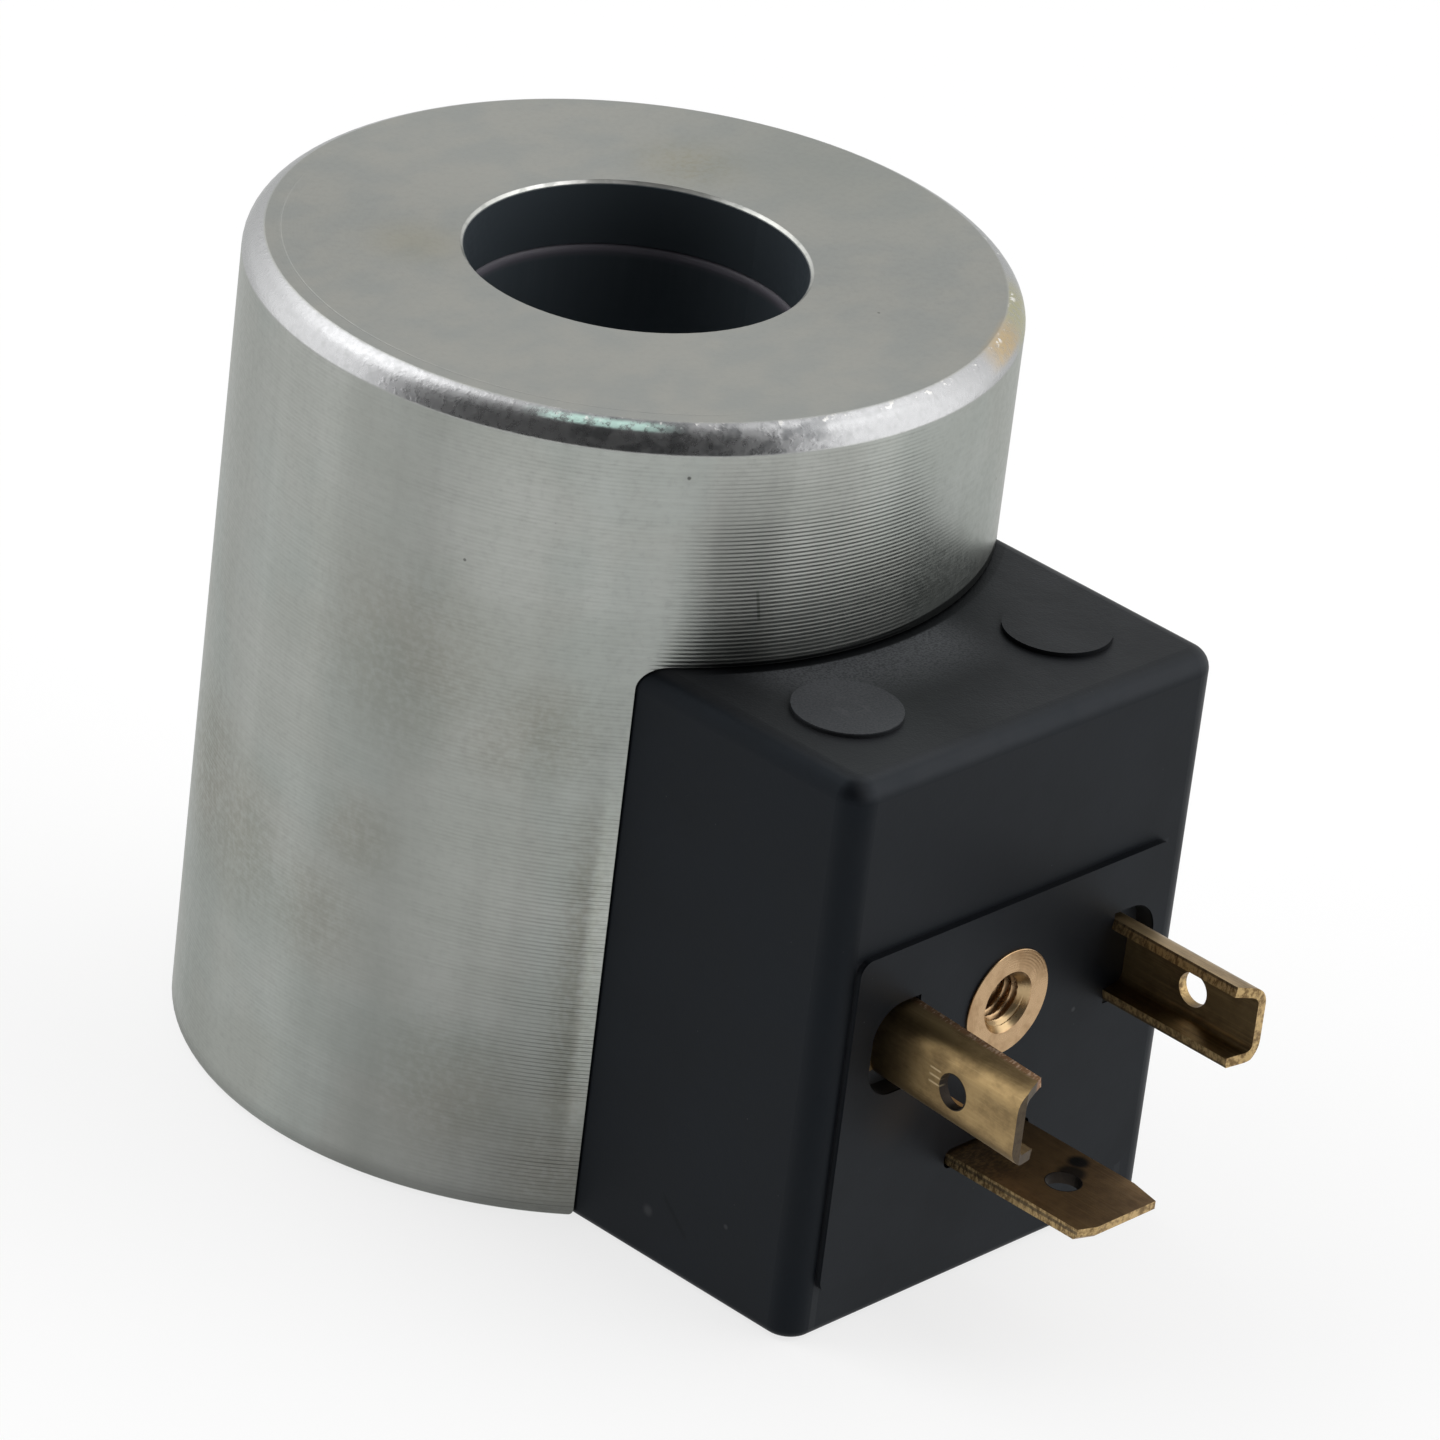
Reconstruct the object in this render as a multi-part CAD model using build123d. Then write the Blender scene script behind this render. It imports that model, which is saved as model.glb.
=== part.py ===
from build123d import *
import os

# Solenoid coil for a cartridge valve. Millimetres, +Z up.
# Origin: on the bore axis, at the plane of the can's lower rim. The connector face looks along -Y.

# Steel can
can_radius = 20.35
can_height = 45.8
can_wall = 2.6
plate_thickness = 3.6
plate_bore_radius = 9.0
bore_chamfer = 0.2
rim_width = 1.1
rim_drop = 1.4
rim_bulge_width = 0.37
rim_bulge_drop = 0.47
foot_round = 0.6
window_gap = 0.12

# Flux plate under the bobbin
flux_plate_bottom = 0.3
flux_plate_top = 3.6
flux_plate_gap = 0.02
flux_plate_chamfer = 0.3

# Bobbin and winding
bobbin_bore_radius = 8.9
bobbin_tube_wall = 1.0
bobbin_flange_thickness = 1.5
bobbin_flange_radius = 17.65
bobbin_mouth_round = 0.45
assembly_gap = 0.05
winding_radius = 15.1
tape_thickness = 0.35
earth_notch_gap = 0.3

# Connector block, its middle a little right of the bore's axis
block_width = 27.1
block_shift = 0.35
block_front = 30.9
block_top = 32.4
block_bottom = 0.1
block_back = 9.0
block_front_round = 1.5
block_top_round = 1.2
block_bottom_round = 0.5

# Raised panel on the connector face and the two raised discs on top of the block
panel_half_width = 11.65
panel_bottom = 2.8
panel_top = 22.15
panel_height = 0.35
panel_corner_round = 0.8
disc_radius = 2.9
disc_offset = 7.8
disc_shift = 0.2
disc_forward = 24.6
disc_height = 0.25

# Power terminals: channel blades 18 mm apart, a little right of the bore's axis, the left one bent outwards
connector_height = 16.25
blade_spacing = 18.0
right_blade_shift = 0.35
left_blade_shift = 0.65
left_blade_lean = 4.0
blade_thickness = 0.58
right_blade_reach = 9.1
left_blade_reach = 9.4
channel_half_height = 2.05
channel_flange_spread = 0.33
channel_depth = 1.85
channel_outer_bend = 1.2
channel_inner_bend = 0.45
channel_end_cut = 0.5
blade_hole_radius = 0.95
power_hole_reach = 4.75
power_tail_half_height = 1.8
power_tail_end = 19.2
pocket_depth = 1.2
pocket_outer_margin = 1.45
pocket_top_margin = 0.3
pocket_round = 2.0

# Earth terminal: flat blade below the bush
earth_top = 8.2
earth_thickness = 0.66
earth_half_width = 2.95
earth_reach = 9.5
earth_hole_reach = 5.4
earth_lead_in_width = 0.4
earth_lead_in_length = 1.85
earth_corner_width = 1.1
earth_corner_length = 0.4
earth_tip_bevel = 0.2
earth_tail_half_width = 2.0
earth_tail_back = 16.3
earth_foot_back = 14.6
earth_outer_bend = 0.9
earth_inner_bend = 0.2
earth_pocket_margin = 0.25
earth_pocket_round = 0.5

# Threaded bush
bush_proud = 0.12
bush_length = 9.0
bush_radius = 3.0
bush_collar_length = 1.2
bush_groove_radius = 2.55
bush_groove_length = 0.8
bush_knurl_radius = 2.9
thread_core_radius = 1.25
thread_depth = 7.5
bush_mouth_radius = 1.75
bush_mouth_depth = 0.6

# Lead wires and solder joints
lead_radius = 0.3
lead_offset = 6.6
lead_start = 13.2
lead_end = 20.2
lead_bend = 0.8
solder_radius = 0.9

# Sizes worked out from the ones above
can_inner_radius = can_radius - can_wall
plate_underside = can_height - plate_thickness
bobbin_lower = flux_plate_top + bobbin_flange_thickness
bobbin_upper = plate_underside - bobbin_flange_thickness
bobbin_tube_radius = bobbin_bore_radius + bobbin_tube_wall
tape_radius = winding_radius + assembly_gap + tape_thickness
jacket_inner_radius = tape_radius + assembly_gap
panel_face = block_front + panel_height
pocket_floor = panel_face - pocket_depth
web_outer = (blade_spacing + blade_thickness) / 2
web_inner = (blade_spacing - blade_thickness) / 2
connector_half_width = block_width / 2


def tube(outer, inner, bottom, top):
    """Plain tube on the bore axis."""
    ring = Circle(outer) - Circle(inner)
    return extrude(Plane.XY.offset(bottom) * ring, top - bottom)


def disc(radius, bottom, top):
    """Plain disc on the bore axis."""
    return extrude(Plane.XY.offset(bottom) * Circle(radius), top - bottom)


def frontal(profile, inner, outer):
    """Profile drawn in X and Z, drawn out from y = -inner to y = -outer."""
    return extrude(Plane.XZ.offset(inner) * profile, outer - inner)


def rounded_window(margin, bottom):
    """Outline of the block's section, larger by margin at the top and the sides."""
    half = connector_half_width + margin
    top = block_top + margin
    outline = Polyline((-half, bottom), (half, bottom), (half, top), (-half, top), close=True)
    face = make_face(outline)
    return fillet(face.vertices().sort_by(Axis.Y)[-2:], block_top_round + margin)


def sheet_profile(points, rounds):
    """Closed outline with a round at each listed corner, for bent sheet."""
    face = make_face(Polyline(*points, close=True))
    for corner, radius in rounds:
        vertex = face.vertices().sort_by_distance((corner[0], corner[1], 0))[0]
        face = fillet(vertex, radius)
    return face


# Steel can: turned cup with pole plate, rounded rim and the window for the block
rim_start = (can_radius - rim_width, can_height)
rim_middle = (can_radius - rim_bulge_width, can_height - rim_bulge_drop)
rim_end = (can_radius, can_height - rim_drop)
can_profile = Polyline(
    rim_start,
    (plate_bore_radius + bore_chamfer, can_height),
    (plate_bore_radius, can_height - bore_chamfer),
    (plate_bore_radius, plate_underside),
    (can_inner_radius, plate_underside),
    (can_inner_radius, 0),
    (can_radius, 0),
    rim_end,
)
can_profile += ThreePointArc(rim_start, rim_middle, rim_end)
can_face = make_face(can_profile)
can_face = fillet(can_face.vertices().sort_by_distance((can_radius, 0, 0))[0], foot_round)
steel_can = revolve(Plane.XZ * can_face, Axis.Z)
steel_can -= frontal(Pos(block_shift, 0) * rounded_window(window_gap, -1), block_back, block_front)

# Flux plate: washer that closes the magnetic circuit at the bottom
flux_plate = tube(can_inner_radius - flux_plate_gap, plate_bore_radius, flux_plate_bottom, flux_plate_top)
flux_plate = chamfer(flux_plate.faces().sort_by(Axis.Z)[0].edges(), flux_plate_chamfer)

# Bobbin: tube with two flanges, rounded mouths and a notch for the earth foot
bobbin = tube(bobbin_tube_radius, bobbin_bore_radius, flux_plate_top, plate_underside)
for bottom in (flux_plate_top, bobbin_upper):
    bobbin += tube(bobbin_flange_radius, bobbin_bore_radius, bottom, bottom + bobbin_flange_thickness)
mouths = bobbin.edges().filter_by(GeomType.CIRCLE)
mouths = mouths.filter_by(lambda edge: abs(edge.radius - bobbin_bore_radius) < assembly_gap)
bobbin = fillet(mouths, bobbin_mouth_round)
notch_half = earth_tail_half_width + earth_notch_gap
notch = Rectangle(2 * notch_half, 2 * bobbin_flange_thickness + 2 * flux_plate_top)
bobbin -= frontal(notch, earth_foot_back - earth_notch_gap, block_front)

# Winding and its tape
copper_winding = tube(winding_radius, bobbin_tube_radius + assembly_gap, bobbin_lower, bobbin_upper)
winding_tape = tube(tape_radius, winding_radius + assembly_gap, bobbin_lower, bobbin_upper)

# Power terminals: channel blade with flanges spread towards the middle, flat tail inside the block
spread = channel_half_height + channel_flange_spread
lean = Vector(-channel_depth, channel_flange_spread).normalized()
inward = Vector(lean.Y, -lean.X) * -blade_thickness
tip_x = web_outer - channel_depth
inner_tip = (tip_x + inward.X, spread + inward.Y)
inner_corner_z = inner_tip[1] - (web_inner - inner_tip[0]) * channel_flange_spread / channel_depth
upper_half = [(web_inner, inner_corner_z), inner_tip, (tip_x, spread), (web_outer, channel_half_height)]
lower_half = [(x, -z) for x, z in reversed(upper_half)]
bends = [((web_outer, side * channel_half_height), channel_outer_bend) for side in (1, -1)]
bends += [((web_inner, side * inner_corner_z), channel_inner_bend) for side in (1, -1)]
channel = Pos(0, connector_height) * sheet_profile(upper_half + lower_half, bends)


def channel_blade(reach):
    """Right-hand channel blade out to its tip, with its hole and the cut corners of the flanges."""
    tip = panel_face + reach
    corner = Polyline(
        (inner_tip[0] - 1, -tip + channel_end_cut),
        (tip_x, -tip + channel_end_cut),
        (web_inner, -tip),
        (web_inner, -tip - 1),
        (inner_tip[0] - 1, -tip - 1),
        close=True,
    )
    hole = Plane.YZ * Pos(-panel_face - power_hole_reach, connector_height) * Circle(blade_hole_radius)
    blade = frontal(channel, pocket_floor, tip)
    return blade - extrude(Plane.XY * make_face(corner), can_height) - extrude(hole, blade_spacing)


tail = Pos(blade_spacing / 2, connector_height) * Rectangle(blade_thickness, 2 * power_tail_half_height)
power_tail = frontal(tail, power_tail_end, pocket_floor)
blade_root = Pos(-blade_spacing / 2, -pocket_floor, 0)
left_blade = mirror(channel_blade(left_blade_reach), Plane.YZ)
left_blade = blade_root * Rot(0, 0, -left_blade_lean) * blade_root.inverse() * left_blade

# Earth terminal: flat blade, narrower tail bent down to a foot on the flux plate
earth_bottom = earth_top - earth_thickness
earth_tip = panel_face + earth_reach
blade_outline = Polyline(
    (-earth_half_width, -pocket_floor),
    (-earth_half_width, -earth_tip + earth_corner_length),
    (-earth_half_width + earth_corner_width, -earth_tip),
    (earth_half_width - earth_lead_in_width, -earth_tip),
    (earth_half_width, -earth_tip + earth_lead_in_length),
    (earth_half_width, -pocket_floor),
    close=True,
)
earth_blade = make_face(blade_outline) - Pos(0, -panel_face - earth_hole_reach) * Circle(blade_hole_radius)
earth_terminal = extrude(Plane.XY.offset(earth_bottom) * earth_blade, earth_thickness)
tip_edges = earth_terminal.faces().sort_by(Axis.Z)[0].edges().sort_by(Axis.Y)[:3]
earth_terminal = chamfer(tip_edges, earth_tip_bevel)
riser_front = earth_tail_back + earth_thickness
foot_top = flux_plate_top + earth_thickness
tail_outline = [
    (-pocket_floor, earth_top),
    (-earth_tail_back, earth_top),
    (-earth_tail_back, foot_top),
    (-earth_foot_back, foot_top),
    (-earth_foot_back, flux_plate_top),
    (-riser_front, flux_plate_top),
    (-riser_front, earth_bottom),
    (-pocket_floor, earth_bottom),
]
tail_bends = [
    (tail_outline[1], earth_outer_bend),
    (tail_outline[2], earth_inner_bend),
    (tail_outline[5], earth_outer_bend),
    (tail_outline[6], earth_inner_bend),
]
earth_tail = sheet_profile(tail_outline, tail_bends)
earth_terminal += extrude(Plane.YZ * earth_tail, earth_tail_half_width, both=True)

# Threaded bush: collar, two knurled bands between grooves, blind core hole with a countersunk mouth
bush_face = panel_face + bush_proud
band_length = (bush_length - bush_collar_length - 2 * bush_groove_length) / 2
bush_steps = [(bush_radius, bush_collar_length)]
bush_steps += [(bush_groove_radius, bush_groove_length), (bush_knurl_radius, band_length)] * 2
bush_outline = [(0, 0)]
depth = 0
for radius, length in bush_steps:
    bush_outline += [(radius, depth), (radius, depth + length)]
    depth += length
bush_outline.append((0, depth))
bush_plane = Plane(origin=(0, -bush_face, connector_height), x_dir=(1, 0, 0), z_dir=(0, 0, 1))
bush_axis = Axis((0, 0, connector_height), (0, 1, 0))
bush_body = revolve(bush_plane * make_face(Polyline(*bush_outline, close=True)), bush_axis)
core_outline = Polyline(
    (0, 0),
    (bush_mouth_radius, 0),
    (thread_core_radius, bush_mouth_depth),
    (thread_core_radius, thread_depth),
    (0, thread_depth + thread_core_radius / 2),
    close=True,
)
threaded_bush = bush_body - revolve(bush_plane * make_face(core_outline), bush_axis)

# Lead wire from the winding to the inner face of the terminal tail, with its solder joint
lead_path = FilletPolyline(
    (lead_offset, -lead_start, connector_height),
    (lead_offset, -lead_end, connector_height),
    (web_inner, -lead_end, connector_height),
    radius=lead_bend,
)
lead_section = Plane(origin=lead_path @ 0, z_dir=lead_path % 0) * Circle(lead_radius)
lead_wire = sweep(lead_section, lead_path)
joint_place = Pos(web_inner, -lead_end, connector_height)
joint_half = Pos(-solder_radius, 0, 0) * Box(2 * solder_radius, 2 * solder_radius, 2 * solder_radius)
solder_joint = joint_place * (Sphere(solder_radius) & joint_half) - lead_wire

# Each side's terminal, lead and joint take that side's shift
right_place = Pos(right_blade_shift, 0, 0)
left_place = Pos(left_blade_shift, 0, 0)
terminals = {
    "right": right_place * (channel_blade(right_blade_reach) + power_tail),
    "left": left_place * (left_blade + mirror(power_tail, Plane.YZ)),
}
leads = {"right": right_place * lead_wire, "left": left_place * mirror(lead_wire, Plane.YZ)}
joints = {"right": right_place * solder_joint, "left": left_place * mirror(solder_joint, Plane.YZ)}
for lead in leads.values():
    copper_winding -= lead
    winding_tape -= lead

# Moulded body: connector block with its rounded edges
block_depth = block_front - block_back
block_height = block_top - block_bottom
block_place = Pos(block_shift, -(block_front + block_back) / 2, (block_top + block_bottom) / 2)
moulded_body = block_place * Box(block_width, block_depth, block_height)
front_edges = moulded_body.edges().filter_by(Axis.Z).sort_by(Axis.Y)[:2]
moulded_body = fillet(front_edges, block_front_round)
moulded_body = fillet(moulded_body.faces().sort_by(Axis.Z)[-1].edges().sort_by(Axis.Y)[:-1], block_top_round)
moulded_body = fillet(moulded_body.faces().sort_by(Axis.Z)[0].edges().sort_by(Axis.Y)[:-1], block_bottom_round)

# Jacket between the bobbin flanges; below them the block stops at the can's inner wall
moulded_body += tube(bobbin_flange_radius, jacket_inner_radius, bobbin_lower, bobbin_upper)
moulded_body -= disc(jacket_inner_radius, bobbin_lower, bobbin_upper)
moulded_body -= disc(can_inner_radius, 0, bobbin_lower)

# Raised panel with its pockets outside the blades, and the two discs on top
panel_middle = Pos(0, (panel_top + panel_bottom) / 2)
panel = panel_middle * RectangleRounded(2 * panel_half_width, panel_top - panel_bottom, panel_corner_round)
moulded_body += frontal(panel, block_front - panel_height, panel_face)
pocket_outer = web_outer + pocket_outer_margin
pocket_half_height = spread + pocket_top_margin
web_middle = blade_spacing / 2
flange_middle = channel_half_height - blade_thickness / 2
bend_middle = channel_outer_bend - blade_thickness / 2
upper_pocket = [
    (web_middle, flange_middle),
    (tip_x, flange_middle + channel_flange_spread),
    (tip_x, pocket_half_height),
    (pocket_outer, pocket_half_height),
]
lower_pocket = [(x, -z) for x, z in reversed(upper_pocket)]
pocket_rounds = [((pocket_outer, side * pocket_half_height), pocket_round) for side in (1, -1)]
pocket_rounds += [((web_middle, side * flange_middle), bend_middle) for side in (1, -1)]
power_pocket = sheet_profile(upper_pocket + lower_pocket, pocket_rounds)
earth_pocket_width = 2 * (earth_half_width + earth_pocket_margin)
earth_pocket_height = earth_thickness + 2 * earth_pocket_margin
earth_pocket = RectangleRounded(earth_pocket_width, earth_pocket_height, earth_pocket_round)
pockets = Pos(0, (earth_top + earth_bottom) / 2) * earth_pocket
pockets += Pos(right_blade_shift, connector_height) * power_pocket
pockets += Pos(left_blade_shift, connector_height) * mirror(power_pocket, Plane.YZ)
for side in (1, -1):
    disc_place = Pos(disc_shift + side * disc_offset, -disc_forward, 0)
    moulded_body += disc_place * disc(disc_radius, block_top - disc_height, block_top + disc_height)
moulded_body -= frontal(pockets, pocket_floor, panel_face)

# Cavities the moulding leaves for the inserts it is cast round
for insert in (bush_body, earth_terminal, *terminals.values(), *leads.values(), *joints.values()):
    moulded_body -= insert

pieces = {
    "steel_can": steel_can,
    "flux_plate": flux_plate,
    "bobbin": bobbin,
    "copper_winding": copper_winding,
    "winding_tape": winding_tape,
    "moulded_body": moulded_body,
    "earth_terminal": earth_terminal,
    "threaded_bush": threaded_bush,
}
for side in ("left", "right"):
    pieces["power_terminal_" + side] = terminals[side]
    pieces["lead_wire_" + side] = leads[side]
    pieces["solder_joint_" + side] = joints[side]

os.makedirs("parts", exist_ok=True)
for name, piece in pieces.items():
    export_step(piece, "parts/" + name + ".step")
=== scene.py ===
import logging
import math
from dataclasses import dataclass
from enum import Enum
from typing import Any, Sequence

import bpy
from mathutils import Matrix, Vector

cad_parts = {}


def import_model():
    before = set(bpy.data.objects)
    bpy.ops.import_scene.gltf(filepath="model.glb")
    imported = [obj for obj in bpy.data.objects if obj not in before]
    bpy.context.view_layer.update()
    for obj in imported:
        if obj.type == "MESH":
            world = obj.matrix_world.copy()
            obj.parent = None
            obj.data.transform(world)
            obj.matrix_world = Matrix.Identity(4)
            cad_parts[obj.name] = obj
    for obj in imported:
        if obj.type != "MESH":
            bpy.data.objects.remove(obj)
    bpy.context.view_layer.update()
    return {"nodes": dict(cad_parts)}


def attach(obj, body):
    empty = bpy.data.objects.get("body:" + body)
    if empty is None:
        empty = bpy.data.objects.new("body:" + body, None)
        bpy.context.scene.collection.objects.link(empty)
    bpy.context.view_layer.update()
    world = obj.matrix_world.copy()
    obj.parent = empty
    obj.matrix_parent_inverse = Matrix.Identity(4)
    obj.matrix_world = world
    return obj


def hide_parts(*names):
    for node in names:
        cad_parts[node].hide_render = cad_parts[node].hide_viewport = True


log = logging.getLogger("solenoid_coil")

Colour = tuple[float, float, float]
Point = tuple[float, float, float]
Run = tuple[float, float]
Piece = bpy.types.Object
Value = Any
MILLIMETRE = 0.001


class Slot(Enum):
    """Material slots of the record; nothing in this script takes a finish from them."""

    BRASS = "brass"


class Blend(Enum):
    """How two colours are put together."""

    MIX = "MIX"
    MULTIPLY = "MULTIPLY"


@dataclass(frozen=True)
class Spot:
    """A round mark: its centre, how far it reaches, how far it is full and how strong it is, in millimetres."""

    at: Point
    reach: float
    full: float = 0.0
    share: float = 1.0


@dataclass(frozen=True)
class Span:
    """A stretch along one measure, with soft ends."""

    low: float
    high: float
    soft: float


class Nodes:
    """A node tree, with a short call for each kind of node that the finishes and the sky use."""

    def __init__(self, tree: bpy.types.NodeTree) -> None:
        """Keeps the tree and empties it."""
        self.tree = tree
        tree.nodes.clear()

    def put(self, socket: bpy.types.NodeSocket, value: Value) -> None:
        """Links a socket to an output, or sets it to a constant.

        Args:
            socket: The input socket.
            value: An output socket, a number, a colour or a vector.
        """
        if isinstance(value, bpy.types.NodeSocket):
            self.tree.links.new(value, socket)
        elif socket.type == "RGBA":
            socket.default_value = (*value, 1.0)
        else:
            socket.default_value = value

    def added(self, kind: str, *values: Value, **settings: str | bool) -> bpy.types.Node:
        """Adds a node.

        Args:
            kind: The node's type, without the prefix of shader nodes.
            values: Values of its first inputs.
            settings: Properties of the node.

        Returns:
            The node.
        """
        node = self.tree.nodes.new("ShaderNode" + kind)
        for name, setting in settings.items():
            setattr(node, name, setting)
        for socket, value in zip(node.inputs, values):
            self.put(socket, value)
        return node

    def math(self, operation: str, first: Value, second: Value = 0.0, third: Value = 0.0) -> Value:
        """Adds a Math node and returns its output."""
        return self.added("Math", first, second, third, operation=operation).outputs[0]

    def chained(self, operation: str, values: Sequence[Value]) -> Value:
        """Puts several values together, one after the other.

        Args:
            operation: The operation of the Math nodes.
            values: Sockets or numbers.

        Returns:
            The output socket.
        """
        result = values[0]
        for value in values[1:]:
            result = self.math(operation, result, value)
        return result

    def times(self, *values: Value) -> Value:
        """Multiplies several values."""
        return self.chained("MULTIPLY", values)

    def plus(self, *values: Value) -> Value:
        """Adds several values."""
        return self.chained("ADD", values)

    def most(self, *values: Value) -> Value:
        """Gives the largest of several values."""
        return self.chained("MAXIMUM", values)

    def without(self, value: Value) -> Value:
        """Gives 1 minus the value."""
        return self.math("SUBTRACT", 1.0, value)

    def vector(self, operation: str, first: Value, second: Value = (0.0, 0.0, 0.0), scale: Value = 1.0) -> Value:
        """Adds a Vector Math node and returns its number for DISTANCE and DOT_PRODUCT, its vector for the others."""
        node = self.added("VectorMath", first, second, (0.0, 0.0, 0.0), scale, operation=operation)
        return node.outputs["Value" if operation in ("DISTANCE", "DOT_PRODUCT") else "Vector"]

    def joined(self, x: Value, y: Value, z: Value) -> Value:
        """Returns the vector of three values."""
        return self.added("CombineXYZ", x, y, z).outputs[0]

    def parts(self, vector: Value) -> tuple[Value, Value, Value]:
        """Returns the three values of a vector."""
        return tuple(self.added("SeparateXYZ", vector).outputs)

    def ramp(self, value: Value, low: float, high: float, start: float = 0.0, end: float = 1.0) -> Value:
        """Eases from start to end while the value goes from low to high, which may also be the smaller one."""
        return self.added("MapRange", value, low, high, start, end, interpolation_type="SMOOTHSTEP").outputs[0]

    def band(self, value: Value, span: Span) -> Value:
        """Gives 1 while the value is inside a span and 0 outside, with soft ends."""
        start = self.ramp(value, span.low - span.soft, span.low + span.soft)
        return self.times(start, self.ramp(value, span.high + span.soft, span.high - span.soft))


class Graph(Nodes):
    """Node tree of one material, with the point on the piece and the textures of the finishes."""

    def __init__(self, name: str) -> None:
        """Starts an empty material with a shader, an output and the point in millimetres.

        Args:
            name: The material's name.
        """
        self.material = bpy.data.materials.new(name)
        self.material.use_nodes = True
        super().__init__(self.material.node_tree)
        self.shader = self.added("BsdfPrincipled")
        self.output = self.added("OutputMaterial", self.shader.outputs["BSDF"])
        self.point = self.vector("SCALE", self.added("TexCoord").outputs["Object"], scale=1 / MILLIMETRE)
        self.x, self.y, self.z = self.parts(self.point)
        self.radius = self.axial((1.0, 1.0, 0.0), (0.0, 0.0, 0.0))

    @property
    def faced(self) -> tuple[Value, Value, Value]:
        """Gives how far the surface faces along each axis, 0 to 1, whichever way round."""
        return self.parts(self.vector("ABSOLUTE", self.added("NewGeometry").outputs["True Normal"]))

    def set(self, **inputs: Value) -> None:
        """Sets sockets of the shader, named with underscores for spaces."""
        for name, value in inputs.items():
            self.put(self.shader.inputs[name.replace("_", " ")], value)

    def spot(self, mark: Spot) -> Value:
        """Gives a round mark's share at its middle and 0 past its reach."""
        away = self.vector("DISTANCE", self.point, mark.at)
        return self.times(self.ramp(away, mark.reach, mark.full), mark.share)

    def axial(self, across: Point, axis: Point) -> Value:
        """Gives the distance from a line along X, Y or Z, where across is 1 across the line and 0 along it."""
        return self.vector("DISTANCE", self.vector("MULTIPLY", self.point, across), axis)

    def noise(
        self, stretch: Point | float, detail: float, roughness: float, shift: float = 0.0, point: Value = None
    ) -> Value:
        """Adds a Noise texture of the point in millimetres.

        Args:
            stretch: Features per millimetre, one number or one for each axis.
            detail: Number of finer layers.
            roughness: Strength of the finer layers.
            shift: Offset that gives another pattern.
            point: A vector to use in place of the point.

        Returns:
            The output socket, about 0.5 on average.
        """
        stretch = stretch if isinstance(stretch, tuple) else (stretch,) * 3
        scaled = self.vector("MULTIPLY", self.point if point is None else point, stretch)
        node = self.added("TexNoise", self.vector("ADD", scaled, (shift, shift * 1.7, shift * 0.6)))
        for name, number in (("Scale", 1.0), ("Detail", detail), ("Roughness", roughness)):
            node.inputs[name].default_value = number
        return node.outputs["Fac"]

    def specks(self, per_millimetre: float, size: float, shift: float = 0.0) -> Value:
        """Gives sparse round specks.

        Args:
            per_millimetre: Cells per millimetre.
            size: Radius of a speck as a share of a cell.
            shift: Offset that gives another pattern.

        Returns:
            The mask's socket.
        """
        scaled = self.vector("SCALE", self.point, scale=per_millimetre)
        node = self.added("TexVoronoi", self.vector("ADD", scaled, (shift, shift, shift)))
        node.inputs["Scale"].default_value = 1.0
        return self.ramp(node.outputs["Distance"], size, 0.5 * size)

    def colour(self, factor: Value, first: Value, second: Value, blend: Blend = Blend.MIX) -> Value:
        """Puts two colours together.

        Args:
            factor: 0 for the first colour, 1 for the second.
            first: First colour.
            second: Second colour.
            blend: How they are put together.

        Returns:
            The colour socket.
        """
        node = self.added("Mix", factor, data_type="RGBA", blend_type=blend.value, clamp_factor=True)
        for socket, value in zip((s for s in node.inputs if s.type == "RGBA"), (first, second)):
            self.put(socket, value)
        return next(s for s in node.outputs if s.type == "RGBA")

    def tilted(self, slope: Value) -> Value:
        """Tilts the surface's normal by a slope vector, which is added to it."""
        normal = self.added("NewGeometry").outputs["Normal"]
        return self.vector("NORMALIZE", self.vector("ADD", normal, slope))

    def bump(self, height: Value, depth: float, normal: Value = None) -> Value:
        """Adds a Bump node.

        Args:
            height: Height from 0 to 1.
            depth: What 1 stands for, in millimetres.
            normal: The normal to start from.

        Returns:
            The normal's socket.
        """
        node = self.added("Bump")
        for name, value in (("Distance", depth * MILLIMETRE), ("Strength", 1.0), ("Height", height)):
            self.put(node.inputs[name], value)
        if normal is not None:
            self.put(node.inputs["Normal"], normal)
        return node.outputs["Normal"]


@dataclass(frozen=True)
class Finish:
    """A finish that can be put on a piece."""

    name: str

    def shade(self, g: Graph) -> None:
        """Builds the node tree of the finish in an empty material."""
        raise NotImplementedError

    def put_on(self, *pieces: Piece) -> None:
        """Makes the material and gives it to pieces as their only one.

        Args:
            pieces: The pieces to dress.
        """
        graph = Graph(self.name)
        self.shade(graph)
        for piece in pieces:
            piece.data.materials.clear()
            piece.data.materials.append(graph.material)
            log.info("%s: %s", piece.name, self.name)


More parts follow.
